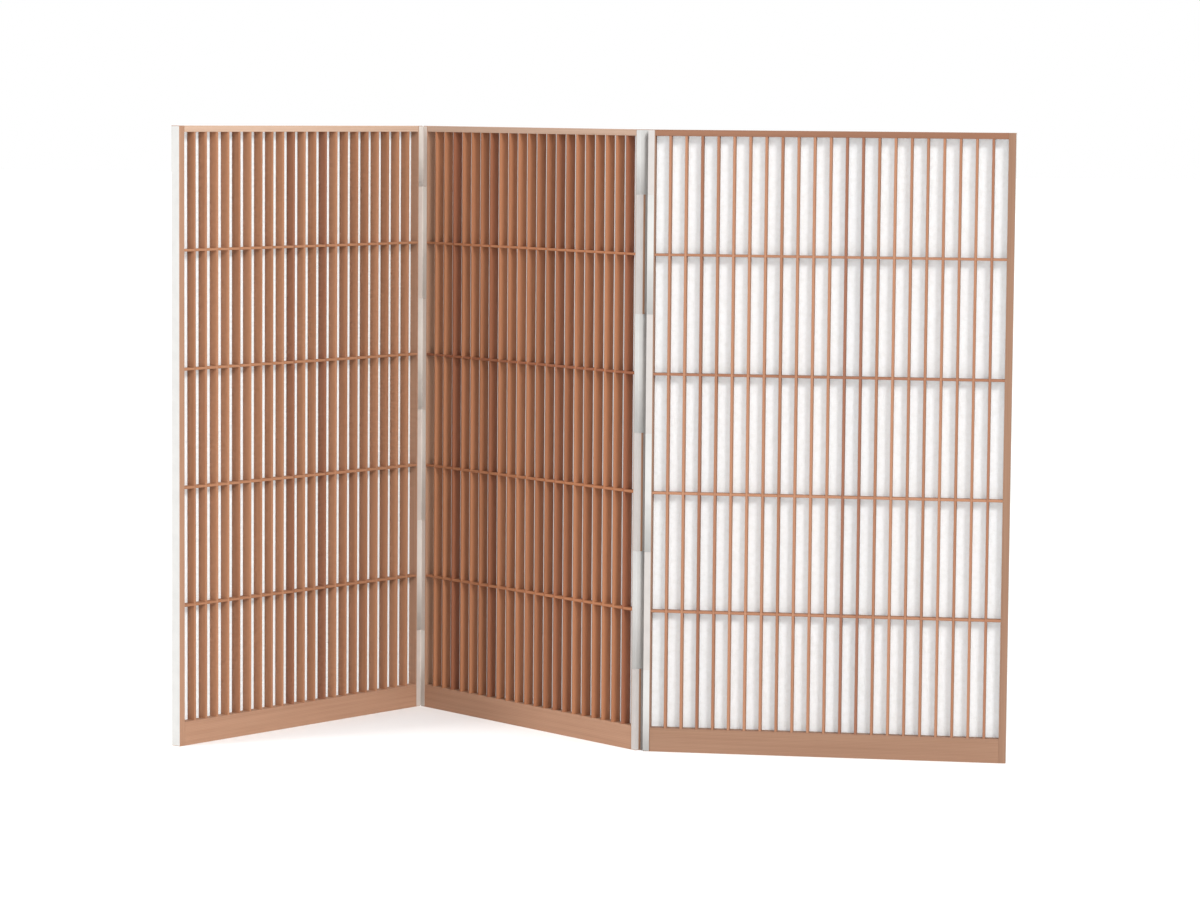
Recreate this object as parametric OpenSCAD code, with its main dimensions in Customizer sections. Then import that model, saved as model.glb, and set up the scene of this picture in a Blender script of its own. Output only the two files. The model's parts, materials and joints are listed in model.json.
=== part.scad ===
// Three-panel folding paper screen: cedar frames with a fine upright lattice,
// paper stretched behind the lattice, and paper bands for hinges.
// X runs along the folded screen, Y runs away from its lattice side, Z is up.
// The origin is at the middle of the footprint, on the floor.

/* [Panels] */
// Height of each panel
panel_h = 1200; // [900:10:1800]
// Width of each panel
panel_w = 700; // [450:5:900]

/* [Frame members] */
// Width of the stiles, seen from the front
stile_w = 14; // [12:0.5:40]
// Height of the top rail
top_rail_h = 12; // [10:0.5:60]
// Height of the bottom rail
bottom_rail_h = 46.5; // [20:0.5:150]
// Chamfer along the long edges of the frame members
arris = 0.4; // [0.2:0.1:1]

/* [Lattice] */
// Number of upright slats in a panel
slat_count = 21; // [3:1:30]
// Number of crossbars in a panel
bar_count = 4; // [1:1:8]
// Width of an upright slat, seen from the front
slat_w = 4.5; // [3:0.1:12]
// Height of a crossbar, seen from the front
bar_h = 4.5; // [3:0.1:12]
// Depth of the slats and crossbars, front to back
lattice_d = 19.5; // [12:0.5:24]
// Depth from the back of the lattice to the back of the frame
rebate_d = 2; // [1.5:0.5:6]

/* [Joinery] */
// Clearance on each side of a tenon and in each half-lap
joint_fit = 0.1; // [0.05:0.05:0.3]
// Length of the rails' tenons into the stiles
rail_tenon_l = 9; // [5:0.5:10]
// Thickness of the rails' tenons
rail_tenon_t = 7; // [4:0.5:10]
// Shoulder above and below a rail's tenon
rail_shoulder = 2; // [1:0.5:4]
// Length of the lattice's stub tenons
stub_l = 4; // [2:0.5:6]
// Depth of the stub tenons, front to back
stub_d = 8; // [4:0.5:10]
// Shoulder on each side of a stub tenon
stub_shoulder = 0.7; // [0.3:0.1:1]

/* [Paper] */
// Thickness of the paper sheet behind the lattice
sheet_t = 0.4; // [0.3:0.1:1]
// Width of the sheet's glued margin in the rebate
sheet_lap = 3; // [2:0.5:5]
// Thickness of one layer of facing or hinge paper
skin_t = 0.25; // [0.2:0.05:0.4]
// Width of bare wood left beside the paper on a stile's front
front_margin = 2; // [1:0.5:4]
// Width of bare wood left beside the paper on a stile's back
back_margin = 1; // [0.5:0.5:3]
// Width of the facing that returns round the stile's corners
return_w = 8; // [2:0.5:9]
// Height that the paper strips stop short of the frame's ends
skin_trim = 1; // [0.5:0.5:5]

/* [Folds] */
// Angle between the left and middle panels, on the lattice side
left_fold = 78; // [40:1:120]
// Angle between the middle and right panels, on the paper side
right_fold = 138; // [60:1:170]
// Turn of the middle panel from the X axis
middle_turn = 51; // [20:1:60]
// Clearance between the papers on a stile and the fold line
fold_clearance = 0.1; // [0.1:0.05:0.5]
// Gap between one hinge band and the next
band_gap = 0.4; // [0.2:0.1:2]

/* [Hidden] */
PANELS = ["left", "middle", "right"];
MEMBERS = ["left_stile", "right_stile", "top_rail", "bottom_rail", "slats", "sheet"];
// One band spans from mid-row to mid-row, so there is one more than there are rows
row_count = bar_count + 1;
band_count = row_count + 1;
BARS = [for (bar = [1:bar_count]) bar];
BANDS = [for (band = [1:band_count]) band];

wood_colour = [0.72, 0.53, 0.42];
slat_colour = [0.76, 0.56, 0.45];
paper_colour = [0.95, 0.94, 0.92];
skin_colour = [0.88, 0.86, 0.83];
tiny = 0.01;

// Clear opening of a frame and the lattice's spacing in it
clear_w = panel_w - 2 * stile_w;
clear_h = panel_h - top_rail_h - bottom_rail_h;
pane_w = (clear_w - slat_count * slat_w) / (slat_count + 1);
row_h = (clear_h - bar_count * bar_h) / row_count;
frame_d = lattice_d + rebate_d;
lattice_mid = lattice_d / 2;

// Where slat i starts along X, and where crossbar i starts along Z, counted from 1
function slat_x(i) = stile_w + i * pane_w + (i - 1) * slat_w;
function bar_z(i) = bottom_rail_h + i * row_h + (i - 1) * bar_h;
// Height of the middle of row i, counted from the bottom; a row's middle is a joint between bands
function row_mid(i) = bottom_rail_h + (i - 0.5) * row_h + (i - 1) * bar_h;

// Band i counted from the top: its lowest and highest points
function band_low(i) =
    i == band_count ? skin_trim : row_mid(row_count - i + 1) + band_gap / 2;
function band_high(i) =
    i == 1 ? panel_h - skin_trim : row_mid(row_count - i + 2) - band_gap / 2;

// Width of the paper on a stile's front, and on its back, where the rebate takes some of the face
front_skin_w = stile_w - front_margin;
back_skin_w = stile_w - sheet_lap - back_margin;

// A stile's corner carries two layers of paper; the fold line lies just off them, and a leaf
// runs past the corner to just short of it
skins_t = 2 * skin_t;
hinge_play = skins_t + fold_clearance;
leaf_reach = hinge_play - 1.5 * fold_clearance;

// ---- Where the panels stand ----
// In a panel's own frame X runs along it, Y from its lattice face to its back, Z up
left_turn = 180 - left_fold - middle_turn;
right_turn = middle_turn - (180 - right_fold);
turns = [left_turn, -middle_turn, -right_turn];
function turned(p, a) = [p.x * cos(a) - p.y * sin(a), p.x * sin(a) + p.y * cos(a)];
left_line = turned([-hinge_play, -hinge_play], turns[1]);
right_line = turned([panel_w + hinge_play, frame_d + hinge_play], turns[1]);
corners = [
    left_line - turned([panel_w + hinge_play, -hinge_play], turns[0]),
    [0, 0],
    right_line - turned([-hinge_play, frame_d + hinge_play], turns[2])
];
// The outermost points of the footprint, papers included
outline = concat(
    [for (y = [0, frame_d]) corners[0] + turned([-skin_t, y], turns[0])],
    [corners[0] + turned([panel_w + skin_t, frame_d + skins_t], turns[0])],
    [corners[1] + turned([-skins_t, frame_d + skins_t], turns[1])],
    [corners[1] + turned([panel_w + skins_t, -skins_t], turns[1])],
    [for (y = [0, frame_d]) corners[2] + turned([panel_w + skin_t, y], turns[2])]
);
xs = [for (p = outline) p.x];
ys = [for (p = outline) p.y];
centre = [(min(xs) + max(xs)) / 2, (min(ys) + max(ys)) / 2];

module on_panel(i) {
    translate([corners[i].x - centre.x, corners[i].y - centre.y, 0])
        rotate([0, 0, turns[i]])
            children();
}

// Swaps a panel's left and right sides
module mirrored() {
    translate([panel_w, 0, 0])
        mirror([1, 0, 0])
            children();
}

// Swaps a panel's lattice face and back
module flipped() {
    translate([0, frame_d, 0])
        mirror([0, 1, 0])
            children();
}

// ---- Frame ----
// Section of a frame member, w by d, with its four edges chamfered
module chamfered(w, d) {
    polygon([
        [arris, 0], [w - arris, 0], [w, arris], [w, d - arris],
        [w - arris, d], [arris, d], [0, d - arris], [0, arris]
    ]);
}

// A box from low to high, grown by g along the axes that grow names
module box(low, high, g = 0, grow = [1, 1, 1]) {
    translate(low - g * grow)
        cube(high - low + 2 * g * grow);
}

// The tenon at the left end of a rail that spans from z0 to z1
module rail_tenon(z0, z1, g) {
    box(
        [stile_w - rail_tenon_l, lattice_mid - rail_tenon_t / 2, z0 + rail_shoulder],
        [stile_w + tiny, lattice_mid + rail_tenon_t / 2, z1 - rail_shoulder],
        g
    );
}

// The stub tenon at the left end of crossbar i
module bar_stub(i, g) {
    box(
        [stile_w - stub_l, lattice_mid - stub_d / 2, bar_z(i) + stub_shoulder],
        [stile_w + tiny, lattice_mid + stub_d / 2, bar_z(i) + bar_h - stub_shoulder],
        g
    );
}

// The stub tenon of slat i, from z0 to z1
module slat_stub(i, z0, z1, g) {
    box(
        [slat_x(i) + stub_shoulder, lattice_mid - stub_d / 2, z0],
        [slat_x(i) + slat_w - stub_shoulder, lattice_mid + stub_d / 2, z1],
        g
    );
}

module left_stile() {
    color(wood_colour)
    difference() {
        linear_extrude(panel_h)
            chamfered(stile_w, frame_d);
        rail_tenon(panel_h - top_rail_h, panel_h, joint_fit);
        rail_tenon(0, bottom_rail_h, joint_fit);
        for (i = BARS) bar_stub(i, joint_fit);
        // Rebate that takes the sheet's glued margin
        box(
            [stile_w - sheet_lap, lattice_d, bottom_rail_h - sheet_lap],
            [stile_w + 1, frame_d + 1, panel_h - top_rail_h + sheet_lap],
            joint_fit,
            [1, 0, 1]
        );
    }
}

// A rail from z0 to z1; inner is the height of its edge that faces the opening
module rail(z0, z1, inner) {
    into = inner == z1 ? -1 : 1;
    color(wood_colour)
    difference() {
        union() {
            translate([stile_w, 0, z1])
                rotate([0, 90, 0])
                    linear_extrude(clear_w)
                        chamfered(z1 - z0, frame_d);
            rail_tenon(z0, z1, 0);
            mirrored() rail_tenon(z0, z1, 0);
        }
        for (i = [1:slat_count])
            slat_stub(i, min(inner, inner + into * stub_l), max(inner, inner + into * stub_l), joint_fit);
        box(
            [stile_w - 1, lattice_d, min(inner - into, inner + into * sheet_lap)],
            [panel_w - stile_w + 1, frame_d + 1, max(inner - into, inner + into * sheet_lap)],
            joint_fit,
            [0, 0, 1]
        );
    }
}

module top_rail() {
    rail(panel_h - top_rail_h, panel_h, panel_h - top_rail_h);
}

module bottom_rail() {
    rail(0, bottom_rail_h, bottom_rail_h);
}

// ---- Lattice ----
// The slats are notched from the back and the crossbars from the front
module slats() {
    color(slat_colour)
    for (i = [1:slat_count])
        difference() {
            union() {
                box(
                    [slat_x(i), 0, bottom_rail_h],
                    [slat_x(i) + slat_w, lattice_d, panel_h - top_rail_h]
                );
                slat_stub(i, bottom_rail_h - stub_l, panel_h - top_rail_h + stub_l, 0);
            }
            for (k = BARS)
                box(
                    [slat_x(i) - 1, lattice_mid, bar_z(k)],
                    [slat_x(i) + slat_w + 1, lattice_d + 1, bar_z(k) + bar_h],
                    joint_fit,
                    [0, 0, 1]
                );
        }
}

module crossbar(k) {
    color(slat_colour)
    difference() {
        union() {
            box([stile_w, 0, bar_z(k)], [panel_w - stile_w, lattice_d, bar_z(k) + bar_h]);
            bar_stub(k, 0);
            mirrored() bar_stub(k, 0);
        }
        for (i = [1:slat_count])
            box(
                [slat_x(i), -1, bar_z(k) - 1],
                [slat_x(i) + slat_w, lattice_mid, bar_z(k) + bar_h + 1],
                joint_fit,
                [1, 0, 0]
            );
    }
}

// ---- Paper ----
module sheet() {
    color(paper_colour)
    box(
        [stile_w - sheet_lap, lattice_d, bottom_rail_h - sheet_lap],
        [panel_w - stile_w + sheet_lap, lattice_d + sheet_t, panel_h - top_rail_h + sheet_lap]
    );
}

// One facing strip: w wide along the front of the left stile, and a little way round its corner
module facing_strip(w) {
    linear_extrude(panel_h - 2 * skin_trim)
        polygon([
            [-skin_t, -skin_t], [w, -skin_t], [w, 0],
            [0, 0], [0, return_w], [-skin_t, return_w]
        ]);
}

// The facing of the left stile, front and back
module facing() {
    color(skin_colour)
    translate([0, 0, skin_trim]) {
        facing_strip(front_skin_w);
        flipped() facing_strip(back_skin_w);
    }
}

// The lining that covers a panel's free edge
module end_lining() {
    color(skin_colour)
    box([-skin_t, arris, skin_trim], [0, frame_d - arris, panel_h - skin_trim]);
}

// ---- Hinge bands ----
// Each band crosses the gap from one panel's front to the other's back. It hinges at the
// fold line, where it is cut into two leaves: a flat one that ends at the fold line, and a
// wrapped one that covers the stile's edge and the face beyond it.
// Both are drawn on a left stile whose fold line is at its front corner, and are w wide there.
module flat_leaf(band, w) {
    color(paper_colour)
    box([-leaf_reach, -skins_t, band_low(band)], [w, -skin_t, band_high(band)]);
}

module wrapped_leaf(band, w) {
    color(paper_colour)
    translate([0, 0, band_low(band)])
        linear_extrude(band_high(band) - band_low(band))
            polygon([
                [-skins_t, -leaf_reach], [-skin_t, -leaf_reach], [-skin_t, frame_d + skin_t],
                [w, frame_d + skin_t], [w, frame_d + skins_t], [-skins_t, frame_d + skins_t]
            ]);
}

// Odd bands run from the near panel's front to the far panel's back, even ones the other way.
// At the left fold the line is at the front corners, so an odd band wraps the far stile;
// at the right fold the line is at the back corners, so an odd band wraps the near stile.
module left_fold_leaf(band, wraps) {
    if (wraps) wrapped_leaf(band, back_skin_w);
    else flat_leaf(band, front_skin_w);
}

module right_fold_leaf(band, wraps) {
    flipped()
        if (wraps) wrapped_leaf(band, front_skin_w);
        else flat_leaf(band, back_skin_w);
}

module left_near_leaf(band) {
    on_panel(0) mirrored() left_fold_leaf(band, band % 2 == 0);
}

module left_far_leaf(band) {
    on_panel(1) left_fold_leaf(band, band % 2 == 1);
}

module right_near_leaf(band) {
    on_panel(1) mirrored() right_fold_leaf(band, band % 2 == 1);
}

module right_far_leaf(band) {
    on_panel(2) right_fold_leaf(band, band % 2 == 0);
}

// ---- Nodes ----
for (i = [0:len(PANELS) - 1]) {
    name = str(PANELS[i], "_panel_");
    on_panel(i) left_stile();
    on_panel(i) mirrored() left_stile();
    on_panel(i) top_rail();
    on_panel(i) bottom_rail();
    on_panel(i) slats();
    on_panel(i) sheet();
    for (k = BARS)
        on_panel(i) crossbar(k);
}
for (band = BANDS) {
    left_near_leaf(band);
    left_far_leaf(band);
    right_near_leaf(band);
    right_far_leaf(band);
}
on_panel(0) mirrored() facing();  // left_panel_facing
on_panel(1) facing();  // middle_panel_left_facing
on_panel(1) mirrored() facing();  // middle_panel_right_facing
on_panel(2) facing();  // right_panel_facing
on_panel(0) end_lining();  // left_end_lining
on_panel(2) mirrored() end_lining();  // right_end_lining
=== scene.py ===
import json
import math

import bpy
from mathutils import Matrix, Vector


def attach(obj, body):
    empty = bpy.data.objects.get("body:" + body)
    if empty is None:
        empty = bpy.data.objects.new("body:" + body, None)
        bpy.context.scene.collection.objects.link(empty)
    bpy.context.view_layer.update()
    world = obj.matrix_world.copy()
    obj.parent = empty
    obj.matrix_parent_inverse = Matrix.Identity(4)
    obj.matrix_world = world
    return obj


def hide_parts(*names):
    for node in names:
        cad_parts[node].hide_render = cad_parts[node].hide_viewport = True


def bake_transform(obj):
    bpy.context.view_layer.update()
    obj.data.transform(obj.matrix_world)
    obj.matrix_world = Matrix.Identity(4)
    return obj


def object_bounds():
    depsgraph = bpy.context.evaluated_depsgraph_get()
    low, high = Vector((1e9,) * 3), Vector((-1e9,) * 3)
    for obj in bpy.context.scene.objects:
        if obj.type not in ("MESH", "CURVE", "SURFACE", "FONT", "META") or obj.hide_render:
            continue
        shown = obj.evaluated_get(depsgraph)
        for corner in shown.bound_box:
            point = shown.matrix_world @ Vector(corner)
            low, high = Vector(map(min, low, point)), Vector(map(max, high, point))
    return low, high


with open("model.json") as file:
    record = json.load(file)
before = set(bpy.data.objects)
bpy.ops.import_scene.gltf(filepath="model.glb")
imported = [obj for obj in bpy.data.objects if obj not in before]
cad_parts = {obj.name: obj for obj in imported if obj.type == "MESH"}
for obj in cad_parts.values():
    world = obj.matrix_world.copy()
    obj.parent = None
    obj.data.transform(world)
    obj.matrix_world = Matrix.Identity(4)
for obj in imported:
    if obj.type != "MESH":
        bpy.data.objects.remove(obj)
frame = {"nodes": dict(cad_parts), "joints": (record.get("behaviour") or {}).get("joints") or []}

bl_info = {
    "name": "Folding shoji screen",
    "version": (1, 0, 0),
    "blender": (4, 5, 0),
    "location": "3D View > Sidebar > Screen",
    "description": "Cedar, paper and paper hinges of a three-panel folding screen",
    "category": "Object",
}

MM = 0.001
PANELS = ("left", "middle", "right")
BANDS = range(1, 7)
CAD_BOX = [list(corner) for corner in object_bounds()]


# ---- Settings ----


class ScreenSizes(bpy.types.PropertyGroup):
    """Sizes of a panel, as the construction has them."""

    panel_w: bpy.props.FloatProperty(
        name="Panel width", description="Width of one panel", default=0.700, unit="LENGTH")
    panel_h: bpy.props.FloatProperty(
        name="Panel height", description="Height of one panel", default=CAD_BOX[1][2], unit="LENGTH")
    stile_w: bpy.props.FloatProperty(
        name="Stile width", description="Width of a stile from the front", default=0.014, unit="LENGTH")
    top_rail_h: bpy.props.FloatProperty(
        name="Top rail height", description="Height of the top rail", default=0.012, unit="LENGTH")
    bottom_rail_h: bpy.props.FloatProperty(
        name="Bottom rail height", description="Height of the bottom rail", default=0.0465, unit="LENGTH")
    stick_w: bpy.props.FloatProperty(
        name="Lattice stick", description="Face of a slat or crossbar", default=0.0045, unit="LENGTH")
    lattice_d: bpy.props.FloatProperty(
        name="Lattice depth", description="Depth of the slats and crossbars", default=0.0195, unit="LENGTH")
    rebate_d: bpy.props.FloatProperty(
        name="Rebate depth", description="From the lattice's back to the frame's",
        default=0.002, unit="LENGTH")
    stub_l: bpy.props.FloatProperty(
        name="Stub length", description="Length of the lattice's stub tenons", default=0.004, unit="LENGTH")
    stub_d: bpy.props.FloatProperty(
        name="Stub depth", description="Depth of the stub tenons", default=0.008, unit="LENGTH")
    stub_shoulder: bpy.props.FloatProperty(
        name="Stub shoulder", description="Shoulder beside a stub tenon", default=0.0007, unit="LENGTH")
    lap_fit: bpy.props.FloatProperty(
        name="Half-lap fit", description="Clearance beside a stick in its notch",
        default=0.0001, unit="LENGTH")
    stick_arris: bpy.props.FloatProperty(
        name="Stick arris", description="Chamfer on a stick's long edges", default=0.0003, unit="LENGTH")
    slat_count: bpy.props.IntProperty(
        name="Slats", description="Upright slats in a panel", default=21)
    bar_count: bpy.props.IntProperty(
        name="Crossbars", description="Crossbars in a panel", default=4)
    sheet_t: bpy.props.FloatProperty(
        name="Sheet thickness", description="Thickness of the stretched paper",
        default=0.0004, unit="LENGTH")
    sheet_lap: bpy.props.FloatProperty(
        name="Sheet margin", description="Glued margin of the sheet", default=0.003, unit="LENGTH")
    sheet_billow: bpy.props.FloatProperty(
        name="Sheet billow", description="How far the paper stands back between sticks",
        default=0.0003, unit="LENGTH")
    skin_t: bpy.props.FloatProperty(
        name="Paper layer", description="Thickness of one layer of hinge paper",
        default=0.00025, unit="LENGTH")
    front_skin_w: bpy.props.FloatProperty(
        name="Band on the front", description="Width of a band on a stile's front",
        default=0.012, unit="LENGTH")
    back_skin_w: bpy.props.FloatProperty(
        name="Band on the back", description="Width of a band on a stile's back",
        default=0.010, unit="LENGTH")
    fold_clearance: bpy.props.FloatProperty(
        name="Fold clearance", description="From a stile's papers to the fold line",
        default=0.0001, unit="LENGTH")
    skin_trim: bpy.props.FloatProperty(
        name="Paper trim", description="From the ends of the strips to the frame's",
        default=0.001, unit="LENGTH")
    band_gap: bpy.props.FloatProperty(
        name="Band gap", description="Gap between one band and the next", default=0.0004, unit="LENGTH")


class ScreenColours(bpy.types.PropertyGroup):
    """Colours of the wood and the papers."""

    early_wood: bpy.props.FloatVectorProperty(
        name="Early wood", description="Pale part of a growth ring", subtype="COLOR",
        size=4, default=(0.380, 0.215, 0.136, 1.0))
    late_wood: bpy.props.FloatVectorProperty(
        name="Late wood", description="Dark part of a growth ring", subtype="COLOR",
        size=4, default=(0.245, 0.120, 0.068, 1.0))
    pale_slat: bpy.props.FloatVectorProperty(
        name="Pale slat", description="Pale wood of the lattice", subtype="COLOR",
        size=4, default=(0.420, 0.202, 0.113, 1.0))
    dark_slat: bpy.props.FloatVectorProperty(
        name="Dark slat", description="Dark wood of the lattice", subtype="COLOR",
        size=4, default=(0.265, 0.108, 0.053, 1.0))
    red_slat: bpy.props.FloatVectorProperty(
        name="Red slat", description="Heartwood that some slats are cut from", subtype="COLOR",
        size=4, default=(0.255, 0.098, 0.056, 1.0))
    washi: bpy.props.FloatVectorProperty(
        name="Washi", description="Stretched paper",
        subtype="COLOR", size=4, default=(0.865, 0.880, 0.885, 1.0))
    washi_fibre: bpy.props.FloatVectorProperty(
        name="Washi fibre", description="Fibres in the stretched paper", subtype="COLOR",
        size=4, default=(0.740, 0.745, 0.725, 1.0))
    hinge_paper: bpy.props.FloatVectorProperty(
        name="Hinge paper", description="Two layers of paper on a stile", subtype="COLOR",
        size=4, default=(0.530, 0.525, 0.510, 1.0))
    facing_paper: bpy.props.FloatVectorProperty(
        name="Facing paper", description="One layer of paper on a stile", subtype="COLOR",
        size=4, default=(0.490, 0.460, 0.440, 1.0))


class ScreenStage(bpy.types.PropertyGroup):
    """Floor, lights and camera."""

    eye: bpy.props.FloatVectorProperty(
        name="Eye", description="Where the camera stands", subtype="TRANSLATION",
        size=3, default=(0.0297, -7.8168, 1.2516))
    pitch: bpy.props.FloatProperty(
        name="Pitch", description="How far the camera looks down",
        subtype="ANGLE", default=math.radians(5.022))
    roll: bpy.props.FloatProperty(
        name="Roll", description="How far the camera leans", subtype="ANGLE", default=math.radians(0.477))
    turn: bpy.props.FloatProperty(
        name="Turn", description="How far the camera is turned left",
        subtype="ANGLE", default=math.radians(0.058))
    lens: bpy.props.FloatProperty(
        name="Lens", description="Focal length on a 36 mm sensor", subtype="DISTANCE_CAMERA", default=118.8)
    floor_colour: bpy.props.FloatVectorProperty(
        name="Floor", description="Colour of the floor",
        subtype="COLOR", size=4, default=(0.93, 0.93, 0.93, 1.0))
    surround: bpy.props.FloatProperty(
        name="Surround", description="Brightness of the room", default=1.0)
    key: bpy.props.FloatProperty(
        name="Key", description="Strength of the soft light on the right", default=2.0)
    key_azimuth: bpy.props.FloatProperty(
        name="Key azimuth", description="Where the key stands, from +X",
        subtype="ANGLE", default=math.radians(-66))
    fill: bpy.props.FloatProperty(
        name="Fill", description="Strength of the soft light on the left", default=0.9)
    fill_azimuth: bpy.props.FloatProperty(
        name="Fill azimuth", description="Where the fill stands, from +X",
        subtype="ANGLE", default=math.radians(-155))
    back: bpy.props.FloatProperty(
        name="Back light", description="Strength of the soft light behind the screen", default=0.7)
    back_azimuth: bpy.props.FloatProperty(
        name="Back azimuth", description="Where the back light stands, from +X", subtype="ANGLE",
        default=math.radians(88))
    light_height: bpy.props.FloatProperty(
        name="Light height", description="How high the lights stand",
        subtype="ANGLE", default=math.radians(35))
    softness: bpy.props.FloatProperty(
        name="Softness", description="How wide the lights are", subtype="ANGLE", default=math.radians(16))


def sizes():
    return bpy.context.scene.screen_sizes


def colours():
    return bpy.context.scene.screen_colours


# ---- Where the panels stand ----


class Placing:
    """A panel's own frame: X along it, Y from its lattice face to its back, Z up."""

    def __init__(self, corner, turn):
        self.turn = turn
        self.matrix = Matrix.Translation(corner) @ Matrix.Rotation(turn, 4, "Z")

    def at(self, x, y, z=0.0):
        return self.matrix @ Vector((x, y, z))


def hinge_play():
    return 2 * sizes().skin_t + sizes().fold_clearance


def frame_d():
    return sizes().lattice_d + sizes().rebate_d


def placings():
    """The three panels' frames, worked out from the two fold lines and how far each fold can shut."""
    joints = {joint["name"]: joint for joint in frame["joints"]}
    left_line = Vector(joints["left_fold"]["pos_m"])
    right_line = Vector(joints["right_fold"]["pos_m"])
    left_angle = math.radians(joints["left_fold"]["range_deg"][1])
    right_angle = math.radians(joints["right_fold"]["range_deg"][1])
    play, width, depth = hinge_play(), sizes().panel_w, frame_d()
    span = right_line - left_line
    middle_turn = math.atan2(span.y, span.x) - math.atan2(depth + 2 * play, width + 2 * play)
    left_turn = middle_turn + math.pi - left_angle
    right_turn = middle_turn + math.pi - right_angle

    def corner(line, turn, x, y):
        return line - Matrix.Rotation(turn, 3, "Z") @ Vector((x, y, 0.0))

    return {
        "left": Placing(corner(left_line, left_turn, width + play, -play), left_turn),
        "middle": Placing(corner(left_line, middle_turn, -play, -play), middle_turn),
        "right": Placing(corner(right_line, right_turn, -play, depth + play), right_turn),
    }


def pane_pitch():
    """Distance from one slat to the next."""
    s = sizes()
    clear = s.panel_w - 2 * s.stile_w
    return (clear - s.slat_count * s.stick_w) / (s.slat_count + 1) + s.stick_w


def row_pitch():
    """Distance from one crossbar to the next."""
    s = sizes()
    clear = s.panel_h - s.top_rail_h - s.bottom_rail_h
    return (clear - s.bar_count * s.stick_w) / (s.bar_count + 1) + s.stick_w


def first_slat():
    """Middle of the first slat, along X."""
    return sizes().stile_w - sizes().stick_w / 2 + pane_pitch()


def first_bar():
    """Middle of the lowest crossbar, along Z."""
    return sizes().bottom_rail_h - sizes().stick_w / 2 + row_pitch()


# ---- Node trees ----


class Value:
    """An output socket. Maths on it adds Math nodes to its tree."""

    def __init__(self, nodes, socket):
        self.nodes = nodes
        self.socket = socket

    def maths(self, operation, *operands):
        inputs = dict(enumerate(operands))
        return self.nodes.add("ShaderNodeMath", {"operation": operation}, inputs)

    def __add__(self, other):
        return self.maths("ADD", self, other)

    def __radd__(self, other):
        return self.maths("ADD", other, self)

    def __sub__(self, other):
        return self.maths("SUBTRACT", self, other)

    def __rsub__(self, other):
        return self.maths("SUBTRACT", other, self)

    def __mul__(self, other):
        return self.maths("MULTIPLY", self, other)

    def __rmul__(self, other):
        return self.maths("MULTIPLY", other, self)

    def __truediv__(self, other):
        return self.maths("DIVIDE", self, other)

    def fraction(self):
        return self.maths("FRACT", self)

    def absolute(self):
        return self.maths("ABSOLUTE", self)

    def at_least(self, other):
        return self.maths("MAXIMUM", self, other)

    def step(self, low, high):
        """0 below low, 1 above high, and smooth between."""
        return self.nodes.add(
            "ShaderNodeMapRange", {"interpolation_type": "SMOOTHSTEP"},
            {"Value": self, "From Min": low, "From Max": high})


class Nodes:
    """A shader or geometry node tree that nodes are added to."""

    def __init__(self, tree):
        self.tree = tree

    def node(self, kind, settings=None, inputs=None):
        """Adds a node: its settings first, then the values or links of its sockets."""
        made = self.tree.nodes.new(kind)
        for name, setting in (settings or {}).items():
            setattr(made, name, setting)
        for key, value in (inputs or {}).items():
            if isinstance(value, Value):
                self.tree.links.new(value.socket, made.inputs[key])
            else:
                made.inputs[key].default_value = value
        return made

    def add(self, kind, settings=None, inputs=None, out=0):
        return Value(self, self.node(kind, settings, inputs).outputs[out])


class Shader(Nodes):
    """A material's tree, which ends in a Principled shader, or in that mixed with light let through."""

    def __init__(self, name, turn=0.0):
        material = bpy.data.materials.new(name)
        material.use_nodes = True
        material.node_tree.nodes.clear()
        super().__init__(material.node_tree)
        self.material = material
        self.turn = turn

    def place(self):
        """Object coordinates turned into the panel's own frame, as three values."""
        where = self.add("ShaderNodeTexCoord", out="Object")
        turned = self.add("ShaderNodeMapping", {}, {"Vector": where, "Rotation": (0.0, 0.0, -self.turn)})
        parts = self.node("ShaderNodeSeparateXYZ", {}, {0: turned})
        return [Value(self, socket) for socket in parts.outputs]

    def point(self, x, y, z):
        return self.add("ShaderNodeCombineXYZ", {}, {0: x, 1: y, 2: z})

    def noise(self, where, scale, detail=2.0, distortion=0.0):
        inputs = {"Vector": where, "Scale": scale, "Detail": detail, "Distortion": distortion}
        return self.add("ShaderNodeTexNoise", {}, inputs)

    def mix(self, factor, a, b, blend="MIX"):
        settings = {"data_type": "RGBA", "blend_type": blend, "clamp_factor": True}
        return self.add("ShaderNodeMix", settings, {0: factor, 6: a, 7: b}, out=2)

    def finish(self, colour, roughness, height=None, bump=0.2, relief=0.0002, let_through=0.0, **constants):
        """Wires the colour, roughness and bump into a Principled shader, mixed with light let through."""
        inputs = {"Base Color": colour, "Roughness": roughness, **constants}
        if height is not None:
            inputs["Normal"] = self.add(
                "ShaderNodeBump", {}, {"Strength": bump, "Distance": relief, "Height": height})
        surface = self.add("ShaderNodeBsdfPrincipled", {}, inputs)
        if let_through:
            glow = self.add("ShaderNodeBsdfTranslucent", {}, {"Color": THROUGH_COLOUR})
            surface = self.add("ShaderNodeMixShader", {}, {0: let_through, 1: surface, 2: glow})
        self.node("ShaderNodeOutputMaterial", {}, {"Surface": surface})
        return self.material


# ---- Cedar ----

RING_GAP = 2.3 * MM
RING_WANDER = 5 * MM
# How steeply the rings cross the width and the depth of a board
RING_SLOPE = (0.75, 0.66)
# Late wood darkens slowly through a ring and ends sharply
LATE_RISE = (0.35, 0.92)
LATE_END = (0.92, 1.0)
# A pattern is this much longer along the grain than across it
FIBRE_STRETCH = 0.02
# Patterns a metre
WANDER_SCALE = 28.0
STREAK_SCALE = 1500.0
CLOUD_SCALE = 11.0
FIGURE_SCALE = 140.0
# How much each pattern darkens the wood, and how pale it is without them
LATE_SHADE = 0.22
STREAK_SHADE = 0.34
CLOUD_SHADE = 0.42
FIGURE_SHADE = 0.9
PALENESS = 0.22
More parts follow.
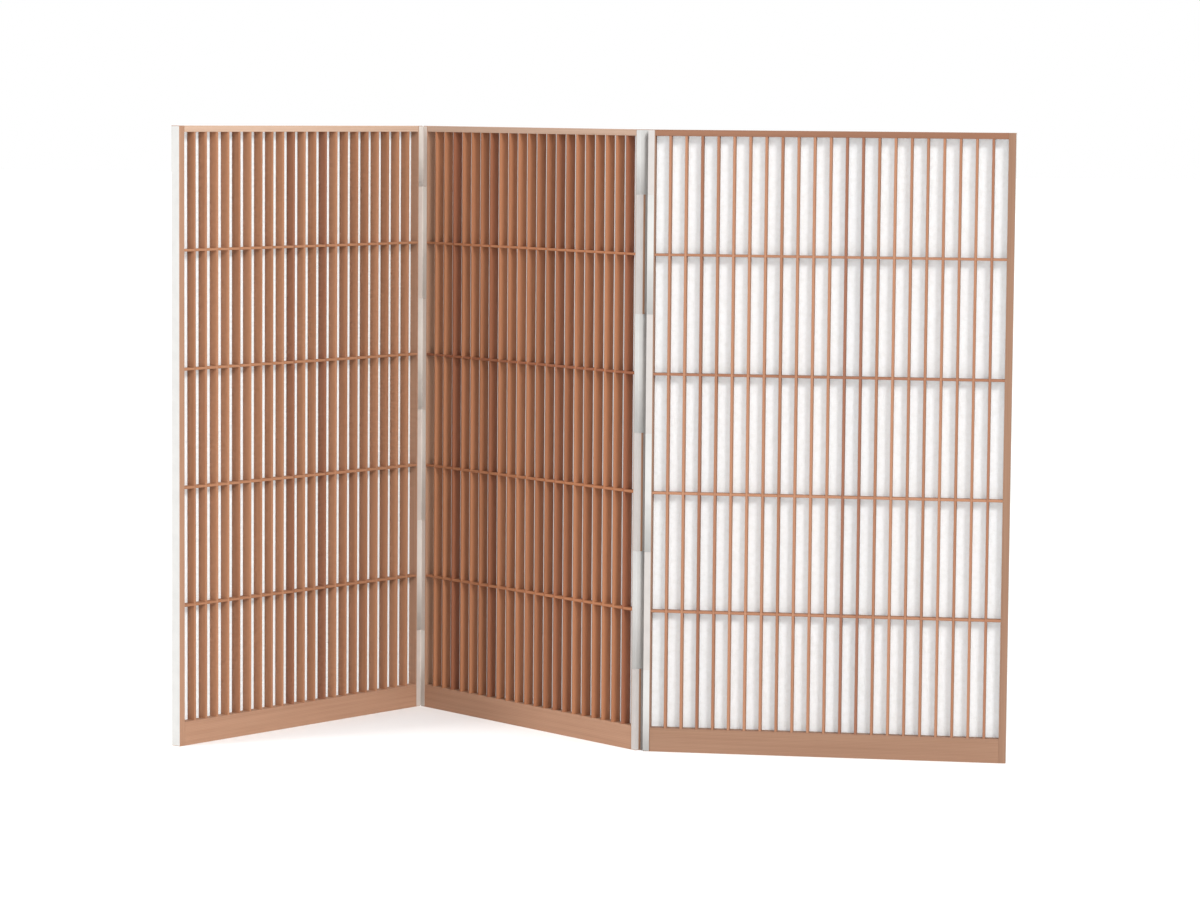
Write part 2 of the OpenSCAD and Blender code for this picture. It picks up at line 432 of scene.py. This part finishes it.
# Sticks are cut from places this far apart, differ this much, and some are heartwood
STICK_SPREAD = 0.37
STICK_CONTRAST = 0.6
HEARTWOOD_SHUFFLE = 7.0
HEARTWOOD_RANGE = (0.72, 0.95)
HEARTWOOD_DEPTH = 0.75
WOOD_ROUGHNESS = 0.52
WOOD_ROUGHNESS_RANGE = 0.22
WOOD_BUMP = 0.25
WOOD_RELIEF = 0.15 * MM
WOOD_GLOSS = {"Specular IOR Level": 0.3}
# Each member's tone is its board's, together with painted light: the right panel and the lattices are
# darkened as painted shade, and the left and middle top rails are whitened as a painted highlight. A tone is
# one number, or one each for red, green and blue
STILE_TONE_AND_PAINTED_SHADE = {"left": 1.0, "middle": 1.0, "right": 0.68}
TOP_RAIL_TONE_AND_PAINTED_LIGHT = {
    "left": (1.45, 1.80, 2.10), "middle": (1.15, 1.40, 1.65), "right": (0.62, 0.52, 0.47)}
BOTTOM_RAIL_TONE_AND_PAINTED_SHADE = {"left": 1.04, "middle": 1.03, "right": 0.74}
LATTICE_TONE_AND_PAINTED_SHADE = {"left": (0.88, 0.87, 0.82), "middle": (0.86, 0.74, 0.62), "right": 0.82}


def toned(colour, tone):
    """A colour made lighter or darker, by one number or by one for each channel."""
    tones = tone if isinstance(tone, tuple) else (tone,) * 3
    return tuple(channel * each for channel, each in zip(colour, tones)) + (1.0,)


def cedar(name, turn, grain_along_x=False, stick=False, lightness=1.0):
    """Straight-grained cedar. The grain runs up or along the panel, and each stick has its own tone."""
    shader = Shader(name, turn)
    x, y, z = shader.place()
    across, length = (z, x) if grain_along_x else (x, z)
    if stick:
        tone = shader.add("ShaderNodeAttribute", {"attribute_name": "tone"}, out="Fac")
        across = across + tone * STICK_SPREAD
    run = shader.point(across, y, length * FIBRE_STRETCH)
    wander = shader.noise(run, WANDER_SCALE, 3.0) - 0.5
    ring = (across * RING_SLOPE[0] + y * RING_SLOPE[1] + wander * RING_WANDER) / RING_GAP
    late = ring.fraction().step(*LATE_RISE) * (1.0 - ring.fraction().step(*LATE_END))
    streak = shader.noise(shader.point(across, y, length * (FIBRE_STRETCH / 2)), STREAK_SCALE)
    cloud = shader.noise(run, CLOUD_SCALE)
    figure = shader.noise(run, FIGURE_SCALE) - 0.5
    shade = late * LATE_SHADE + streak * STREAK_SHADE + cloud * CLOUD_SHADE + figure * FIGURE_SHADE - PALENESS
    pale, dark = colours().early_wood, colours().late_wood
    if stick:
        shade = shade + (tone - 0.5) * STICK_CONTRAST
        pale, dark = colours().pale_slat, colours().dark_slat
    # lightness carries this member's painted light and shade as well as its board's tone
    colour = shader.mix(shade, toned(pale, lightness), toned(dark, lightness))
    if stick:
        heartwood = (tone * HEARTWOOD_SHUFFLE).fraction().step(*HEARTWOOD_RANGE) * HEARTWOOD_DEPTH
        colour = shader.mix(heartwood, colour, toned(colours().red_slat, lightness))
    dull = WOOD_ROUGHNESS + streak * WOOD_ROUGHNESS_RANGE
    return shader.finish(colour, dull, late * 0.5 + streak, WOOD_BUMP, WOOD_RELIEF, **WOOD_GLOSS)


# ---- Papers ----

# Painted light on the fold papers: the left fold's are made a little redder and brighter, and the right
# fold's darker as painted shade
FOLD_PAPER_PAINTED_LIGHT = {"left": (1.08, 1.00, 0.94), "right": 0.94}
PAPER_GLOSS = {"Specular IOR Level": 0.25}
# Patterns a metre
SHEET_FIBRE_SCALE = 55.0
SHEET_CLOUD_SCALE = 130.0
STRIP_FIBRE_SCALE = 90.0
STRIP_CLOUD_SCALE = 45.0
# Two layers of fibres: how much finer each is, how curly, and the level and width of noise that draws it
FIBRE_LAYERS = ((1.0, 1.6, 0.5, 0.028), (1.7, 2.2, 0.47, 0.022))
SHEET_FIBRE_SHADE = 0.3
SHEET_CLOUD_SHADE = 0.5
SHEET_CLOUD_RANGE = (0.35, 0.75)
SHEET_ROUGHNESS = 0.86
SHEET_BUMP = 0.22
SHEET_RELIEF = 0.1 * MM
SHEET_LETS_THROUGH = 0.40
THROUGH_COLOUR = (0.95, 0.965, 0.975, 1.0)
# Painted shade on the back of the sheet: the sticks' shadows seen through the paper, and the darker paper
# where a stick is glued to it
STICK_SHADOW_BEHIND = (0.55, 0.42, 0.33, 1.0)
STICK_SHADE = 0.24
STICK_BLUR = 0.9 * MM
STRIP_FIBRE_SHADE = 0.15
STRIP_CLOUD_SHADE = 0.4
STRIP_CLOUD_RANGE = (0.3, 0.8)
STRIP_ROUGHNESS = 0.8
STRIP_BUMP = 0.2
STRIP_RELIEF = 0.12 * MM
# Tone of a strip where the paste is thick
PASTE_TONE = 0.86


def fibres(shader, where, scale):
    """Long thin fibres lying every way in the paper, as a mask."""
    first, second = (
        1.0 - (shader.noise(where, scale * finer, 1.0, curl) - level).absolute().step(0.0, width)
        for finer, curl, level, width in FIBRE_LAYERS)
    return first.at_least(second)


def near_stick(along, first, pitch):
    """1 on a stick of the lattice, 0 away from it, from a place along a row of sticks."""
    offset = ((along - first) / pitch + 0.5).fraction() - 0.5
    edge = 0.5 * sizes().stick_w
    return 1.0 - (offset.absolute() * pitch).step(edge, edge + STICK_BLUR)


def stretched_paper(name, placing):
    """The sheet behind the lattice: milky, with fibres, and the sticks' shadows painted faintly on its back.
    """
    shader = Shader(name, placing.turn)
    x, y, z = shader.place()
    where = shader.point(x, y, z)
    strand = fibres(shader, where, SHEET_FIBRE_SCALE)
    cloud = shader.noise(where, SHEET_CLOUD_SCALE, 3.0)
    shade = strand * SHEET_FIBRE_SHADE + cloud.step(*SHEET_CLOUD_RANGE) * SHEET_CLOUD_SHADE
    colour = shader.mix(shade, tuple(colours().washi), tuple(colours().washi_fibre))
    # The panel's corner, in the turned coordinates that place() gives
    corner = Matrix.Rotation(-placing.turn, 3, "Z") @ placing.at(0.0, 0.0)
    slats = near_stick(x, corner.x + first_slat(), pane_pitch())
    bars = near_stick(z, first_bar(), row_pitch())
    behind = shader.add("ShaderNodeAttribute", {"attribute_name": "back"}, out="Fac")
    # Painted shade: the sticks' shadows, and the paper glued to them, darken the back of the sheet
    colour = shader.mix(slats.at_least(bars) * behind * STICK_SHADE, colour, STICK_SHADOW_BEHIND)
    return shader.finish(
        colour, SHEET_ROUGHNESS, strand * 0.6 + cloud * 0.5, SHEET_BUMP, SHEET_RELIEF,
        let_through=SHEET_LETS_THROUGH, **PAPER_GLOSS)


def strip_paper(name, pale):
    """Paper pasted over a stile, cloudy with paste and fibres."""
    shader = Shader(name)
    x, y, z = shader.place()
    where = shader.point(x, y, z)
    cloud = shader.noise(where, STRIP_CLOUD_SCALE, 3.0)
    strand = fibres(shader, where, STRIP_FIBRE_SCALE)
    paste = cloud.step(*STRIP_CLOUD_RANGE) * STRIP_CLOUD_SHADE + strand * STRIP_FIBRE_SHADE
    colour = shader.mix(paste, tuple(pale), toned(pale, PASTE_TONE))
    return shader.finish(
        colour, STRIP_ROUGHNESS, strand * 0.5 + cloud, STRIP_BUMP, STRIP_RELIEF, **PAPER_GLOSS)


# ---- Geometry nodes ----

# Points on each rounded corner of a hinge band
CORNER_POINTS = 5


class Maker(Nodes):
    """A geometry node tree whose named inputs are its sizes."""

    def __init__(self, name):
        tree = bpy.data.node_groups.new(name, "GeometryNodeTree")
        super().__init__(tree)
        self.given = tree.nodes.new("NodeGroupInput")
        self.made = tree.nodes.new("NodeGroupOutput")
        self.socket("Geometry", "NodeSocketGeometry")
        tree.interface.new_socket("Geometry", in_out="OUTPUT", socket_type="NodeSocketGeometry")

    def socket(self, name, kind, default=None):
        made = self.tree.interface.new_socket(name, in_out="INPUT", socket_type=kind)
        if default is not None:
            made.default_value = default
        return Value(self, self.given.outputs[name])

    def size(self, name):
        return self.socket(name, "NodeSocketFloat", 0.0)

    def count(self, name):
        return self.socket(name, "NodeSocketInt", 1)

    def vector(self, x=0.0, y=0.0, z=0.0):
        return self.add("ShaderNodeCombineXYZ", {}, {0: x, 1: y, 2: z})

    def box(self, size, centre):
        """A box of a size round a centre."""
        cube = self.add("GeometryNodeMeshCube", {}, {"Size": size})
        return self.add("GeometryNodeTransform", {}, {"Geometry": cube, "Translation": centre})

    def copies(self, geometry, count, step, start):
        """Instances of a geometry in a row, from start, one step apart."""
        line = self.add(
            "GeometryNodeMeshLine", {"mode": "OFFSET"},
            {"Count": count, "Start Location": start, "Offset": step})
        return self.add("GeometryNodeInstanceOnPoints", {}, {"Points": line, "Instance": geometry})

    def cut(self, operation, solids, first=None):
        """Joins solids, or cuts them from the first."""
        made = self.node("GeometryNodeMeshBoolean", {"operation": operation, "solver": "EXACT"})
        if first is not None:
            self.tree.links.new(first.socket, made.inputs[0])
        for solid in solids:
            self.tree.links.new(solid.socket, made.inputs[1])
        return Value(self, made.outputs["Mesh"])

    def realised(self, geometry):
        return self.add("GeometryNodeRealizeInstances", {}, {"Geometry": geometry})

    def end(self, geometry, material):
        last = self.add("GeometryNodeSetMaterial", {}, {"Geometry": geometry, "Material": material})
        self.tree.links.new(last.socket, self.made.inputs[0])


def stick_maker():
    """A tree that makes a row of chamfered sticks with stub tenons and half-lap notches.

    A stick stands along Z, with its front at Y 0. The row runs along X."""
    tree = Maker("Lattice sticks")
    count, first, pitch = tree.count("Count"), tree.size("First"), tree.size("Pitch")
    width, depth, arris = tree.size("Width"), tree.size("Depth"), tree.size("Arris")
    low, high = tree.size("Low"), tree.size("High")
    stub_l, stub_d, shoulder = tree.size("Stub length"), tree.size("Stub depth"), tree.size("Stub shoulder")
    notches, notch_first = tree.count("Notches"), tree.size("First notch")
    notch_pitch, notch_h = tree.size("Notch pitch"), tree.size("Notch height")
    notch_mid, notch_d = tree.size("Notch middle"), tree.size("Notch depth")
    seed = tree.count("Seed")
    turn = tree.socket("Turn", "NodeSocketRotation")
    corner = tree.socket("Corner", "NodeSocketVector")
    material = tree.socket("Material", "NodeSocketMaterial")

    section = tree.add("GeometryNodeCurvePrimitiveQuadrilateral", {}, {"Width": width, "Height": depth})
    section = tree.add(
        "GeometryNodeFilletCurve", {"mode": "POLY"}, {"Curve": section, "Radius": arris, "Count": 1})
    line = tree.add(
        "GeometryNodeCurvePrimitiveLine", {},
        {"Start": tree.vector(z=low), "End": tree.vector(z=high)})
    stick = tree.add(
        "GeometryNodeCurveToMesh", {}, {"Curve": line, "Profile Curve": section, "Fill Caps": True})
    stick = tree.add(
        "GeometryNodeTransform", {}, {"Geometry": stick, "Translation": tree.vector(y=depth / 2)})
    middle = tree.vector(y=depth / 2, z=(low + high) / 2)
    tenon = tree.box(tree.vector(width - shoulder * 2, stub_d, high - low + stub_l * 2), middle)
    stick = tree.cut("UNION", [stick, tenon])
    notch = tree.box(tree.vector(width * 2, notch_d, notch_h), tree.vector(y=notch_mid))
    row = tree.copies(notch, notches, tree.vector(z=notch_pitch), tree.vector(z=notch_first))
    stick = tree.cut("DIFFERENCE", [tree.realised(row)], stick)

    sticks = tree.copies(stick, count, tree.vector(x=pitch), tree.vector(x=first))
    tone = tree.add("FunctionNodeRandomValue", {"data_type": "FLOAT"}, {"Seed": seed}, out=1)
    sticks = tree.add(
        "GeometryNodeStoreNamedAttribute", {"data_type": "FLOAT", "domain": "INSTANCE"},
        {"Geometry": sticks, "Name": "tone", "Value": tone})
    sticks = tree.realised(sticks)
    sticks = tree.add(
        "GeometryNodeTransform", {}, {"Geometry": sticks, "Translation": corner, "Rotation": turn})
    tree.end(sticks, material)
    return tree.tree


def band_maker():
    """A tree that sweeps an upright strip of paper along a path, with its corners rounded."""
    tree = Maker("Hinge band")
    path = Value(tree, tree.given.outputs["Geometry"])
    height, thickness, radius = tree.size("Height"), tree.size("Thickness"), tree.size("Radius")
    material = tree.socket("Material", "NodeSocketMaterial")
    path = tree.add(
        "GeometryNodeFilletCurve", {"mode": "POLY"},
        {"Curve": path, "Radius": radius, "Count": CORNER_POINTS, "Limit Radius": True})
    path = tree.add("GeometryNodeSetCurveNormal", {"mode": "Z_UP"}, {"Curve": path})
    strip = tree.add(
        "GeometryNodeCurvePrimitiveQuadrilateral", {}, {"Width": thickness, "Height": height})
    band = tree.add(
        "GeometryNodeCurveToMesh", {}, {"Curve": path, "Profile Curve": strip, "Fill Caps": True})
    tree.end(band, material)
    return tree.tree


def grown(name, start, tree, values):
    """Runs a geometry node tree on an object's data and returns the result as a plain mesh object."""
    holder = bpy.data.objects.new(name + "_maker", start)
    bpy.context.scene.collection.objects.link(holder)
    modifier = holder.modifiers.new("Make", "NODES")
    modifier.node_group = tree
    sockets = {
        item.name: item.identifier for item in tree.interface.items_tree
        if item.item_type == "SOCKET" and item.in_out == "INPUT"
    }
    for key, value in values.items():
        modifier[sockets[key]] = value
    holder.update_tag()
    depsgraph = bpy.context.evaluated_depsgraph_get()
    mesh = bpy.data.meshes.new_from_object(holder.evaluated_get(depsgraph), depsgraph=depsgraph)
    holder.modifiers.remove(modifier)
    bpy.data.objects.remove(holder)
    mesh.name = name
    made = bpy.data.objects.new(name, mesh)
    bpy.context.scene.collection.objects.link(made)
    return made


# ---- Pieces ----

# Past a stick's face, so that a notch cuts clean through it
NOTCH_REACH = 2 * MM
FIRST_SEED = 7
# Steps of a sheet's mesh across a pane and up it
PANE_STEPS = 6
ROW_STEPS = 14
# How quickly the billow rises from a crossbar
BILLOW_RISE = 3.0
# Corner of a hinge band, and a distance along the band on each side of the fold line
BAND_CORNER = 0.5 * MM
BAND_BEND = 0.6 * MM


def dress(node, material):
    """Gives a CAD node its material."""
    piece = frame["nodes"][node]
    piece.data.materials.clear()
    piece.data.materials.append(material)


class SCREEN_OT_frames(bpy.types.Operator):
    """Cedar for the stiles and rails"""

    bl_idname = "screen.frames"
    bl_label = "Frames"

    def execute(self, context):
        for panel, placing in placings().items():
            # The stile and rail tones hold each panel's painted light and shade as well as its boards' tone
            upright = cedar(f"Cedar stile {panel}", placing.turn, lightness=STILE_TONE_AND_PAINTED_SHADE[panel])
            for side in ("left", "right"):
                dress(f"{panel}_panel_{side}_stile", upright)
            for edge, tones in (("top", TOP_RAIL_TONE_AND_PAINTED_LIGHT), ("bottom", BOTTOM_RAIL_TONE_AND_PAINTED_SHADE)):
                level = cedar(
                    f"Cedar {edge} rail {panel}", placing.turn, grain_along_x=True, lightness=tones[panel])
                dress(f"{panel}_panel_{edge}_rail", level)
        return {"FINISHED"}


class SCREEN_OT_lattice(bpy.types.Operator):
    """Slats and crossbars, half-lapped into each other"""

    bl_idname = "screen.lattice"
    bl_label = "Lattice"

    def execute(self, context):
        s = sizes()
        maker = stick_maker()
        half = s.lattice_d / 2
        # A notch runs from the middle of the stick's depth to past its back or its front
        reach = half + NOTCH_REACH
        shared = {
            "Width": s.stick_w, "Depth": s.lattice_d, "Arris": s.stick_arris, "Stub length": s.stub_l,
            "Stub depth": s.stub_d, "Stub shoulder": s.stub_shoulder,
            "Notch height": s.stick_w + 2 * s.lap_fit, "Notch depth": reach,
        }
        slats = {
            **shared, "Count": s.slat_count, "First": first_slat(), "Pitch": pane_pitch(),
            "Low": s.bottom_rail_h, "High": s.panel_h - s.top_rail_h, "Notches": s.bar_count,
            "First notch": first_bar(), "Notch pitch": row_pitch(), "Notch middle": half + reach / 2,
        }
        # The crossbars are made standing and laid down: their row runs along -X, which turns to Z
        bars = {
            **shared, "Count": s.bar_count, "First": -first_bar(), "Pitch": -row_pitch(),
            "Low": s.stile_w, "High": s.panel_w - s.stile_w, "Notches": s.slat_count,
            "First notch": first_slat(), "Notch pitch": pane_pitch(), "Notch middle": half - reach / 2,
        }
        for number, (panel, placing) in enumerate(placings().items()):
            # The lattice tone darkens each panel's sticks as painted shade, as well as giving their wood's
            # tone
            wood = LATTICE_TONE_AND_PAINTED_SHADE[panel]
            upright = cedar(f"Cedar slat {panel}", placing.turn, stick=True, lightness=wood)
            level = cedar(
                f"Cedar crossbar {panel}", placing.turn, grain_along_x=True, stick=True, lightness=wood)
            standing = (0.0, 0.0, placing.turn)
            laid = (Matrix.Rotation(placing.turn, 3, "Z") @ Matrix.Rotation(math.pi / 2, 3, "Y")).to_euler()
            corner = tuple(placing.at(0.0, 0.0))
            for name, values, turn, material, nodes in (
                ("slats", slats, standing, upright, [f"{panel}_panel_slats"]),
                ("crossbars", bars, tuple(laid), level,
                 [f"{panel}_panel_crossbar_{k + 1}" for k in range(s.bar_count)]),
            ):
                placed = {"Turn": turn, "Corner": corner, "Seed": FIRST_SEED + number, "Material": material}
                piece = grown(
                    f"{panel}_{name}", bpy.data.meshes.new("seed"), maker, {**values, **placed})
                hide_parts(*nodes)
                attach(piece, f"{panel}_panel")
        return {"FINISHED"}


class SCREEN_OT_sheets(bpy.types.Operator):
    """Paper stretched behind each lattice, standing back a little between the sticks"""

    bl_idname = "screen.sheets"
    bl_label = "Sheets"

    def stops(self, low, high, first, pitch, count, steps):
        """Where the sheet has vertices along one side, and how far each is through its pane, 0 to 1."""
        lap = sizes().sheet_lap
        edges = [low] + [first + k * pitch for k in range(count)] + [high]
        found = [(low - lap, 0.0)]
        for start, end in zip(edges, edges[1:]):
            found += [(start + (end - start) * k / steps, k / steps) for k in range(steps)]
        return found + [(high, 0.0), (high + lap, 0.0)]

    def points(self, placing, across, upward):
        """The sheet's front and then its back, row by row from the bottom."""
        s = sizes()
        found = []
        for face in (0, 1):
            for z, part_z in upward:
                rise = min(1.0, BILLOW_RISE * math.sin(math.pi * part_z))
                for x, part_x in across:
                    y = s.lattice_d + s.sheet_billow * math.sin(math.pi * part_x) * rise + face * s.sheet_t
                    found.append(placing.at(x, y, z))
        return found

    def faces(self, columns, rows):
        """Both sides of the sheet and its rim."""
        def index(face, row, column):
            return (face * rows + row) * columns + column

        found = []
        for r in range(rows - 1):
            for c in range(columns - 1):
                ring = [(r, c), (r, c + 1), (r + 1, c + 1), (r + 1, c)]
                found.append([index(0, *spot) for spot in ring])
                found.append([index(1, *spot) for spot in reversed(ring)])
        rim = [(0, c) for c in range(columns - 1)]
        rim += [(r, columns - 1) for r in range(rows - 1)]
        rim += [(rows - 1, c) for c in range(columns - 1, 0, -1)]
        rim += [(r, 0) for r in range(rows - 1, 0, -1)]
        for here, there in zip(rim, rim[1:] + rim[:1]):
            found.append([index(0, *there), index(0, *here), index(1, *here), index(1, *there)])
        return found

    def execute(self, context):
        s = sizes()
        across = self.stops(
            s.stile_w, s.panel_w - s.stile_w, first_slat(), pane_pitch(), s.slat_count, PANE_STEPS)
        upward = self.stops(
            s.bottom_rail_h, s.panel_h - s.top_rail_h, first_bar(), row_pitch(), s.bar_count, ROW_STEPS)
        columns, rows = len(across), len(upward)
        for panel, placing in placings().items():
            mesh = bpy.data.meshes.new(f"{panel}_sheet")
            mesh.from_pydata(self.points(placing, across, upward), [], self.faces(columns, rows))
            back = mesh.attributes.new("back", "FLOAT", "POINT")
            back.data.foreach_set("value", [0.0] * (rows * columns) + [1.0] * (rows * columns))
            mesh.materials.append(stretched_paper(f"Stretched paper {panel}", placing))
            mesh.shade_smooth()
            piece = bpy.data.objects.new(f"{panel}_sheet", mesh)
            context.scene.collection.objects.link(piece)
            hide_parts(f"{panel}_panel_sheet")
            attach(piece, f"{panel}_panel")
        return {"FINISHED"}


class SCREEN_OT_facings(bpy.types.Operator):
    """Paper pasted along the fold stiles and the free edges"""

    bl_idname = "screen.facings"
    bl_label = "Facings and linings"

    def execute(self, context):
        lining = strip_paper("Lining paper", colours().hinge_paper)
        for fold, nodes in (("left", ("left_panel_facing", "middle_panel_left_facing")),
                            ("right", ("middle_panel_right_facing", "right_panel_facing"))):
            # The fold's tone is painted light and shade on its facing paper
            pale = toned(colours().facing_paper, FOLD_PAPER_PAINTED_LIGHT[fold])
            facing = strip_paper(f"Facing paper {fold}", pale)
            for node in nodes:
                dress(node, facing)
        for node in ("left_end_lining", "right_end_lining"):
            dress(node, lining)
        return {"FINISHED"}


class SCREEN_OT_bands(bpy.types.Operator):
    """Hinge bands, each one strip from one panel's front, through the fold, to the other's back"""

    bl_idname = "screen.bands"
    bl_label = "Hinge bands"

    def heights(self, band):
        """Lowest and highest points of a band, counted from the top."""
        s = sizes()
        last = s.bar_count + 2
        middle = s.bottom_rail_h + (row_pitch() - s.stick_w) / 2

        def joint(row):
            return middle + row * row_pitch()

        low = s.skin_trim if band == last else joint(last - 1 - band) + s.band_gap / 2
        high = s.panel_h - s.skin_trim if band == 1 else joint(last - band) - s.band_gap / 2
        return low, high

    def run(self, placing, at_right, line_at_back, wraps, reach):
        """Points of a band's middle surface on one stile, from its far end to next to the fold line."""
        s = sizes()
        # The band is the second layer of paper on the stile
        skin = 1.5 * s.skin_t
        depth = frame_d()

        def spot(x, y):
            # x counts from the stile's edge into the panel, y from the face that the line is at
            across = s.panel_w - x if at_right else x
            return placing.at(across, depth - y if line_at_back else y)

        if not wraps:
            width = s.back_skin_w if line_at_back else s.front_skin_w
            return [spot(width, -skin), spot(-reach, -skin)]
        width = s.front_skin_w if line_at_back else s.back_skin_w
        return [spot(width, depth + skin), spot(-skin, depth + skin), spot(-skin, -reach)]

    def execute(self, context):
        s = sizes()
        maker = band_maker()
        placed = placings()
        # A band's two halves stop this far past the stiles' corners and are joined across the line
        reach = 0.5 * hinge_play()
        lines = {joint["name"]: Vector(joint["pos_m"]) for joint in frame["joints"]}
        folds = (("left", "left", "middle", False), ("right", "middle", "right", True))
        for fold, near, far, at_back in folds:
            line = lines[f"{fold}_fold"]
            # The fold's tone is painted light and shade on its hinge paper
            pale = toned(colours().hinge_paper, FOLD_PAPER_PAINTED_LIGHT[fold])
            paper = strip_paper(f"Hinge paper {fold}", pale)
            for band in BANDS:
                near_wraps = (band % 2 == 1) == at_back
                low, high = self.heights(band)
                near_run = self.run(placed[near], True, at_back, near_wraps, reach)
                far_run = self.run(placed[far], False, at_back, not near_wraps, reach)
                route = near_run + far_run[::-1]
                curve = bpy.data.curves.new("path", "CURVE")
                curve.dimensions = "3D"
                spline = curve.splines.new("POLY")
                spline.points.add(len(route) - 1)
                for point, place in zip(spline.points, route):
                    point.co = (place.x, place.y, (low + high) / 2, 1.0)
                piece = grown(
                    f"{fold}_band_{band}", curve, maker,
                    {"Height": high - low, "Thickness": s.skin_t, "Radius": BAND_CORNER, "Material": paper})
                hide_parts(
                    f"{fold}_fold_band_{band}_near_leaf", f"{fold}_fold_band_{band}_far_leaf")
                near_way = (near_run[-2] - near_run[-1]).normalized()
                far_way = (far_run[-2] - far_run[-1]).normalized()
                onward = (far_way - near_way).normalized() * BAND_BEND
                line - onward
                line + onward
                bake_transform(piece)
                length = sum((b - a).length for a, b in zip(route, route[1:]))
                high - low
        return {"FINISHED"}


FLOOR_REACH = 60.0
FLOOR_PATTERN_SCALE = 3.0
FLOOR_PATTERN_TONE = 0.985
SENSOR_W = 36.0


class SCREEN_OT_stage(bpy.types.Operator):
    """Floor, soft lights and camera"""

    bl_idname = "screen.stage"
    bl_label = "Stage"

    def light(self, name, azimuth, strength):
        """A soft light that comes from an azimuth, and falls evenly on the whole floor."""
        stage = bpy.context.scene.screen_stage
        data = bpy.data.lights.new(name, "SUN")
        data.energy = strength
        data.angle = stage.softness
        lamp = bpy.data.objects.new(name, data)
        lamp.rotation_euler = (0.0, math.pi / 2 - stage.light_height, azimuth)
        bpy.context.scene.collection.objects.link(lamp)

    def execute(self, context):
        stage = context.scene.screen_stage
        scene = context.scene
        scene.view_settings.view_transform = "Standard"

        shader = Shader("Pale floor")
        x, y, z = shader.place()
        speck = shader.noise(shader.point(x, y, z), FLOOR_PATTERN_SCALE)
        pale = tuple(stage.floor_colour)
        shade = shader.mix(speck * 0.3, pale, toned(pale, FLOOR_PATTERN_TONE))
        material = shader.finish(shade, 0.9, **{"Specular IOR Level": 0.1})
        mesh = bpy.data.meshes.new("floor")
        reach = FLOOR_REACH
        corners = [(-reach, -reach, 0), (reach, -reach, 0), (reach, reach, 0), (-reach, reach, 0)]
        mesh.from_pydata(corners, [], [(0, 1, 2, 3)])
        mesh.materials.append(material)
        floor = bpy.data.objects.new("floor", mesh)
        scene.collection.objects.link(floor)

        world = bpy.data.worlds.new("Room")
        scene.world = world
        world.use_nodes = True
        room = world.node_tree.nodes["Background"].inputs
        room["Color"].default_value = (1.0, 1.0, 1.0, 1.0)
        room["Strength"].default_value = stage.surround

        self.light("Key", stage.key_azimuth, stage.key)
        self.light("Fill", stage.fill_azimuth, stage.fill)
        self.light("Back", stage.back_azimuth, stage.back)

        lens = bpy.data.cameras.new("Camera")
        lens.sensor_width = SENSOR_W
        lens.lens = stage.lens
        camera = bpy.data.objects.new("Camera", lens)
        camera.matrix_world = (
            Matrix.Translation(stage.eye)
            @ Matrix.Rotation(stage.turn, 4, "Z")
            @ Matrix.Rotation(math.pi / 2 - stage.pitch, 4, "X")
            @ Matrix.Rotation(stage.roll, 4, "Z")
        )
        scene.collection.objects.link(camera)
        scene.camera = camera
        return {"FINISHED"}


class SCREEN_PT_panel(bpy.types.Panel):
    """Lists the screen's sizes, colours and makers"""

    bl_idname = "SCREEN_PT_panel"
    bl_label = "Folding screen"
    bl_space_type = "VIEW_3D"
    bl_region_type = "UI"
    bl_category = "Screen"

    def draw(self, context):
        for name in GROUPS:
            group = getattr(context.scene, name)
            box = self.layout.box()
            for field in group.__annotations__:
                box.prop(group, field)
        for maker in MAKERS:
            self.layout.operator(maker.bl_idname)


MAKERS = (
    SCREEN_OT_frames,
    SCREEN_OT_lattice,
    SCREEN_OT_sheets,
    SCREEN_OT_facings,
    SCREEN_OT_bands,
    SCREEN_OT_stage,
)
GROUPS = {"screen_sizes": ScreenSizes, "screen_colours": ScreenColours, "screen_stage": ScreenStage}


def register():
    for each in (*GROUPS.values(), *MAKERS, SCREEN_PT_panel):
        bpy.utils.register_class(each)
    for name, group in GROUPS.items():
        setattr(bpy.types.Scene, name, bpy.props.PointerProperty(type=group))


def unregister():
    for name in GROUPS:
        delattr(bpy.types.Scene, name)
    for each in reversed((*GROUPS.values(), *MAKERS, SCREEN_PT_panel)):
        bpy.utils.unregister_class(each)


def main():
    register()
    bpy.ops.screen.frames()
    bpy.ops.screen.lattice()
    bpy.ops.screen.sheets()
    bpy.ops.screen.facings()
    bpy.ops.screen.bands()
    bpy.ops.screen.stage()


if __name__ == "__main__":
    main()
